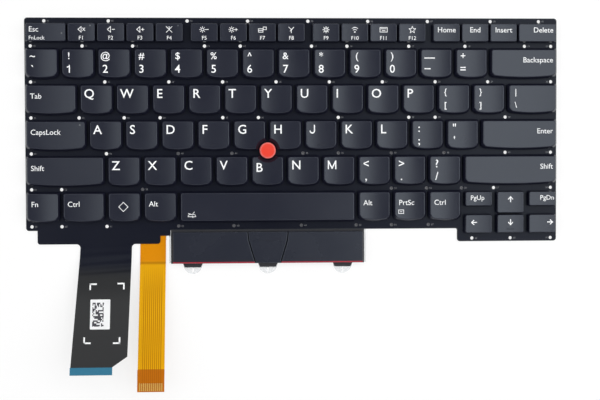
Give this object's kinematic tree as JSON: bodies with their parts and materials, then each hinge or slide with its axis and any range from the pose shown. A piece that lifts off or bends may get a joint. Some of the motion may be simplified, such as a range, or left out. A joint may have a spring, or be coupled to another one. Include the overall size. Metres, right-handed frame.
{
  "type": "laptop replacement keyboard",
  "caption": "Flat laptop keyboard module: dished keys on a thin plate, a red pointing stick, press buttons along the front edge and springy ribbon tails.",
  "frame": {"origin": "middle of the plate's main rectangle, on the underside that lies on the laptop", "axes": "+X along the key rows to the right, +Y towards the function row, +Z out of the key tops"},
  "size_m": [0.285, 0.1973, 0.0213],
  "materials": {
    "key_plastic": "satin moulded plastic",
    "light_guide": "white sheet",
    "plate": "black coated sheet metal",
    "film": "black polyester film",
    "blue_stiffener": "blue polyester strip",
    "amber_film": "amber polyimide film",
    "brown_stiffener": "brown polyimide strip",
    "clear_sheet": "clear film over white",
    "frame_plastic": "moulded plastic",
    "button_plastic": "satin moulded plastic",
    "sensor_plastic": "moulded plastic",
    "stick_rubber": "soft red rubber",
    "dome_rubber": "pale silicone rubber",
    "link_plastic": "pale moulded plastic"
  },
  "bodies": {
    "root": {"backlight_ribbon": "amber_film", "backlight_ribbon_stiffener": "brown_stiffener", "backlight_sheet": "light_guide", "base_plate": "plate", "button_bracket": "clear_sheet", "button_frame": "frame_plastic", "control_keys": "key_plastic", "function_row_keys": "key_plastic", "membrane": "film", "ribbon_stiffener": "blue_stiffener", "rubber_domes": "dome_rubber", "scissor_links": "link_plastic", "stick_cap": "stick_rubber", "stick_sensor": "sensor_plastic"},
    "key_0": {"key_0": "key_plastic"},
    "key_1": {"key_1": "key_plastic"},
    "key_2": {"key_2": "key_plastic"},
    "key_3": {"key_3": "key_plastic"},
    "key_4": {"key_4": "key_plastic"},
    "key_5": {"key_5": "key_plastic"},
    "key_6": {"key_6": "key_plastic"},
    "key_7": {"key_7": "key_plastic"},
    "key_8": {"key_8": "key_plastic"},
    "key_9": {"key_9": "key_plastic"},
    "key_a": {"key_a": "key_plastic"},
    "key_b": {"key_b": "key_plastic"},
    "key_backspace": {"key_backspace": "key_plastic"},
    "key_c": {"key_c": "key_plastic"},
    "key_caps_lock": {"key_caps_lock": "key_plastic"},
    "key_d": {"key_d": "key_plastic"},
    "key_e": {"key_e": "key_plastic"},
    "key_enter": {"key_enter": "key_plastic"},
    "key_f": {"key_f": "key_plastic"},
    "key_g": {"key_g": "key_plastic"},
    "key_h": {"key_h": "key_plastic"},
    "key_i": {"key_i": "key_plastic"},
    "key_j": {"key_j": "key_plastic"},
    "key_k": {"key_k": "key_plastic"},
    "key_l": {"key_l": "key_plastic"},
    "key_left_shift": {"key_left_shift": "key_plastic"},
    "key_m": {"key_m": "key_plastic"},
    "key_n": {"key_n": "key_plastic"},
    "key_o": {"key_o": "key_plastic"},
    "key_p": {"key_p": "key_plastic"},
    "key_q": {"key_q": "key_plastic"},
    "key_r": {"key_r": "key_plastic"},
    "key_right_shift": {"key_right_shift": "key_plastic"},
    "key_s": {"key_s": "key_plastic"},
    "key_space": {"key_space": "key_plastic"},
    "key_t": {"key_t": "key_plastic"},
    "key_tab": {"key_tab": "key_plastic"},
    "key_u": {"key_u": "key_plastic"},
    "key_v": {"key_v": "key_plastic"},
    "key_w": {"key_w": "key_plastic"},
    "key_x": {"key_x": "key_plastic"},
    "key_y": {"key_y": "key_plastic"},
    "key_z": {"key_z": "key_plastic"},
    "button_left": {"button_left": "button_plastic"},
    "button_middle": {"button_middle": "button_plastic"},
    "button_right": {"button_right": "button_plastic"}
  },
  "joints": [
    {"name": "key_0_press", "type": "slide", "parent": "root", "child": "key_0", "axis": [0, 0, -1], "range_m": [0, 0.0018], "stiffness_N_per_m": 300, "springref_m": -0.0005, "deforming": ["rubber_domes", "scissor_links"]},
    {"name": "key_1_press", "type": "slide", "parent": "root", "child": "key_1", "axis": [0, 0, -1], "range_m": [0, 0.0018], "stiffness_N_per_m": 300, "springref_m": -0.0005, "deforming": ["rubber_domes", "scissor_links"]},
    {"name": "key_2_press", "type": "slide", "parent": "root", "child": "key_2", "axis": [0, 0, -1], "range_m": [0, 0.0018], "stiffness_N_per_m": 300, "springref_m": -0.0005, "deforming": ["rubber_domes", "scissor_links"]},
    {"name": "key_3_press", "type": "slide", "parent": "root", "child": "key_3", "axis": [0, 0, -1], "range_m": [0, 0.0018], "stiffness_N_per_m": 300, "springref_m": -0.0005, "deforming": ["rubber_domes", "scissor_links"]},
    {"name": "key_4_press", "type": "slide", "parent": "root", "child": "key_4", "axis": [0, 0, -1], "range_m": [0, 0.0018], "stiffness_N_per_m": 300, "springref_m": -0.0005, "deforming": ["rubber_domes", "scissor_links"]},
    {"name": "key_5_press", "type": "slide", "parent": "root", "child": "key_5", "axis": [0, 0, -1], "range_m": [0, 0.0018], "stiffness_N_per_m": 300, "springref_m": -0.0005, "deforming": ["rubber_domes", "scissor_links"]},
    {"name": "key_6_press", "type": "slide", "parent": "root", "child": "key_6", "axis": [0, 0, -1], "range_m": [0, 0.0018], "stiffness_N_per_m": 300, "springref_m": -0.0005, "deforming": ["rubber_domes", "scissor_links"]},
    {"name": "key_7_press", "type": "slide", "parent": "root", "child": "key_7", "axis": [0, 0, -1], "range_m": [0, 0.0018], "stiffness_N_per_m": 300, "springref_m": -0.0005, "deforming": ["rubber_domes", "scissor_links"]},
    {"name": "key_8_press", "type": "slide", "parent": "root", "child": "key_8", "axis": [0, 0, -1], "range_m": [0, 0.0018], "stiffness_N_per_m": 300, "springref_m": -0.0005, "deforming": ["rubber_domes", "scissor_links"]},
    {"name": "key_9_press", "type": "slide", "parent": "root", "child": "key_9", "axis": [0, 0, -1], "range_m": [0, 0.0018], "stiffness_N_per_m": 300, "springref_m": -0.0005, "deforming": ["rubber_domes", "scissor_links"]},
    {"name": "key_a_press", "type": "slide", "parent": "root", "child": "key_a", "axis": [0, 0, -1], "range_m": [0, 0.0018], "stiffness_N_per_m": 300, "springref_m": -0.0005, "deforming": ["rubber_domes", "scissor_links"]},
    {"name": "key_b_press", "type": "slide", "parent": "root", "child": "key_b", "axis": [0, 0, -1], "range_m": [0, 0.0018], "stiffness_N_per_m": 300, "springref_m": -0.0005, "deforming": ["rubber_domes", "scissor_links"]},
    {"name": "key_backspace_press", "type": "slide", "parent": "root", "child": "key_backspace", "axis": [0, 0, -1], "range_m": [0, 0.0018], "stiffness_N_per_m": 300, "springref_m": -0.0005, "deforming": ["rubber_domes", "scissor_links"]},
    {"name": "key_c_press", "type": "slide", "parent": "root", "child": "key_c", "axis": [0, 0, -1], "range_m": [0, 0.0018], "stiffness_N_per_m": 300, "springref_m": -0.0005, "deforming": ["rubber_domes", "scissor_links"]},
    {"name": "key_caps_lock_press", "type": "slide", "parent": "root", "child": "key_caps_lock", "axis": [0, 0, -1], "range_m": [0, 0.0018], "stiffness_N_per_m": 300, "springref_m": -0.0005, "deforming": ["rubber_domes", "scissor_links"]},
    {"name": "key_d_press", "type": "slide", "parent": "root", "child": "key_d", "axis": [0, 0, -1], "range_m": [0, 0.0018], "stiffness_N_per_m": 300, "springref_m": -0.0005, "deforming": ["rubber_domes", "scissor_links"]},
    {"name": "key_e_press", "type": "slide", "parent": "root", "child": "key_e", "axis": [0, 0, -1], "range_m": [0, 0.0018], "stiffness_N_per_m": 300, "springref_m": -0.0005, "deforming": ["rubber_domes", "scissor_links"]},
    {"name": "key_enter_press", "type": "slide", "parent": "root", "child": "key_enter", "axis": [0, 0, -1], "range_m": [0, 0.0018], "stiffness_N_per_m": 300, "springref_m": -0.0005, "deforming": ["rubber_domes", "scissor_links"]},
    {"name": "key_f_press", "type": "slide", "parent": "root", "child": "key_f", "axis": [0, 0, -1], "range_m": [0, 0.0018], "stiffness_N_per_m": 300, "springref_m": -0.0005, "deforming": ["rubber_domes", "scissor_links"]},
    {"name": "key_g_press", "type": "slide", "parent": "root", "child": "key_g", "axis": [0, 0, -1], "range_m": [0, 0.0018], "stiffness_N_per_m": 300, "springref_m": -0.0005, "deforming": ["rubber_domes", "scissor_links"]},
    {"name": "key_h_press", "type": "slide", "parent": "root", "child": "key_h", "axis": [0, 0, -1], "range_m": [0, 0.0018], "stiffness_N_per_m": 300, "springref_m": -0.0005, "deforming": ["rubber_domes", "scissor_links"]},
    {"name": "key_i_press", "type": "slide", "parent": "root", "child": "key_i", "axis": [0, 0, -1], "range_m": [0, 0.0018], "stiffness_N_per_m": 300, "springref_m": -0.0005, "deforming": ["rubber_domes", "scissor_links"]},
    {"name": "key_j_press", "type": "slide", "parent": "root", "child": "key_j", "axis": [0, 0, -1], "range_m": [0, 0.0018], "stiffness_N_per_m": 300, "springref_m": -0.0005, "deforming": ["rubber_domes", "scissor_links"]},
    {"name": "key_k_press", "type": "slide", "parent": "root", "child": "key_k", "axis": [0, 0, -1], "range_m": [0, 0.0018], "stiffness_N_per_m": 300, "springref_m": -0.0005, "deforming": ["rubber_domes", "scissor_links"]},
    {"name": "key_l_press", "type": "slide", "parent": "root", "child": "key_l", "axis": [0, 0, -1], "range_m": [0, 0.0018], "stiffness_N_per_m": 300, "springref_m": -0.0005, "deforming": ["rubber_domes", "scissor_links"]},
    {"name": "key_left_shift_press", "type": "slide", "parent": "root", "child": "key_left_shift", "axis": [0, 0, -1], "range_m": [0, 0.0018], "stiffness_N_per_m": 300, "springref_m": -0.0005, "deforming": ["rubber_domes", "scissor_links"]},
    {"name": "key_m_press", "type": "slide", "parent": "root", "child": "key_m", "axis": [0, 0, -1], "range_m": [0, 0.0018], "stiffness_N_per_m": 300, "springref_m": -0.0005, "deforming": ["rubber_domes", "scissor_links"]},
    {"name": "key_n_press", "type": "slide", "parent": "root", "child": "key_n", "axis": [0, 0, -1], "range_m": [0, 0.0018], "stiffness_N_per_m": 300, "springref_m": -0.0005, "deforming": ["rubber_domes", "scissor_links"]},
    {"name": "key_o_press", "type": "slide", "parent": "root", "child": "key_o", "axis": [0, 0, -1], "range_m": [0, 0.0018], "stiffness_N_per_m": 300, "springref_m": -0.0005, "deforming": ["rubber_domes", "scissor_links"]},
    {"name": "key_p_press", "type": "slide", "parent": "root", "child": "key_p", "axis": [0, 0, -1], "range_m": [0, 0.0018], "stiffness_N_per_m": 300, "springref_m": -0.0005, "deforming": ["rubber_domes", "scissor_links"]},
    {"name": "key_q_press", "type": "slide", "parent": "root", "child": "key_q", "axis": [0, 0, -1], "range_m": [0, 0.0018], "stiffness_N_per_m": 300, "springref_m": -0.0005, "deforming": ["rubber_domes", "scissor_links"]},
    {"name": "key_r_press", "type": "slide", "parent": "root", "child": "key_r", "axis": [0, 0, -1], "range_m": [0, 0.0018], "stiffness_N_per_m": 300, "springref_m": -0.0005, "deforming": ["rubber_domes", "scissor_links"]},
    {"name": "key_right_shift_press", "type": "slide", "parent": "root", "child": "key_right_shift", "axis": [0, 0, -1], "range_m": [0, 0.0018], "stiffness_N_per_m": 300, "springref_m": -0.0005, "deforming": ["rubber_domes", "scissor_links"]},
    {"name": "key_s_press", "type": "slide", "parent": "root", "child": "key_s", "axis": [0, 0, -1], "range_m": [0, 0.0018], "stiffness_N_per_m": 300, "springref_m": -0.0005, "deforming": ["rubber_domes", "scissor_links"]},
    {"name": "key_space_press", "type": "slide", "parent": "root", "child": "key_space", "axis": [0, 0, -1], "range_m": [0, 0.0018], "stiffness_N_per_m": 300, "springref_m": -0.0005, "deforming": ["rubber_domes", "scissor_links"]},
    {"name": "key_t_press", "type": "slide", "parent": "root", "child": "key_t", "axis": [0, 0, -1], "range_m": [0, 0.0018], "stiffness_N_per_m": 300, "springref_m": -0.0005, "deforming": ["rubber_domes", "scissor_links"]},
    {"name": "key_tab_press", "type": "slide", "parent": "root", "child": "key_tab", "axis": [0, 0, -1], "range_m": [0, 0.0018], "stiffness_N_per_m": 300, "springref_m": -0.0005, "deforming": ["rubber_domes", "scissor_links"]},
    {"name": "key_u_press", "type": "slide", "parent": "root", "child": "key_u", "axis": [0, 0, -1], "range_m": [0, 0.0018], "stiffness_N_per_m": 300, "springref_m": -0.0005, "deforming": ["rubber_domes", "scissor_links"]},
    {"name": "key_v_press", "type": "slide", "parent": "root", "child": "key_v", "axis": [0, 0, -1], "range_m": [0, 0.0018], "stiffness_N_per_m": 300, "springref_m": -0.0005, "deforming": ["rubber_domes", "scissor_links"]},
    {"name": "key_w_press", "type": "slide", "parent": "root", "child": "key_w", "axis": [0, 0, -1], "range_m": [0, 0.0018], "stiffness_N_per_m": 300, "springref_m": -0.0005, "deforming": ["rubber_domes", "scissor_links"]},
    {"name": "key_x_press", "type": "slide", "parent": "root", "child": "key_x", "axis": [0, 0, -1], "range_m": [0, 0.0018], "stiffness_N_per_m": 300, "springref_m": -0.0005, "deforming": ["rubber_domes", "scissor_links"]},
    {"name": "key_y_press", "type": "slide", "parent": "root", "child": "key_y", "axis": [0, 0, -1], "range_m": [0, 0.0018], "stiffness_N_per_m": 300, "springref_m": -0.0005, "deforming": ["rubber_domes", "scissor_links"]},
    {"name": "key_z_press", "type": "slide", "parent": "root", "child": "key_z", "axis": [0, 0, -1], "range_m": [0, 0.0018], "stiffness_N_per_m": 300, "springref_m": -0.0005, "deforming": ["rubber_domes", "scissor_links"]},
    {"name": "button_left_tip", "type": "hinge", "parent": "root", "child": "button_left", "pos_m": [-0.0448, -0.05975, 0.0023], "axis": [1, 0, 0], "range_deg": [0, 2.8], "stiffness_Nm_per_rad": 0.1, "springref_deg": -1.15, "deforming": ["rubber_domes"]},
    {"name": "button_middle_tip", "type": "hinge", "parent": "root", "child": "button_middle", "pos_m": [-0.01404, -0.05975, 0.0023], "axis": [1, 0, 0], "range_deg": [0, 2.8], "stiffness_Nm_per_rad": 0.1, "springref_deg": -1.15, "deforming": ["rubber_domes"]},
    {"name": "button_right_tip", "type": "hinge", "parent": "root", "child": "button_right", "pos_m": [0.0167, -0.05975, 0.0023], "axis": [1, 0, 0], "range_deg": [0, 2.8], "stiffness_Nm_per_rad": 0.1, "springref_deg": -1.15, "deforming": ["rubber_domes"]}
  ]
}
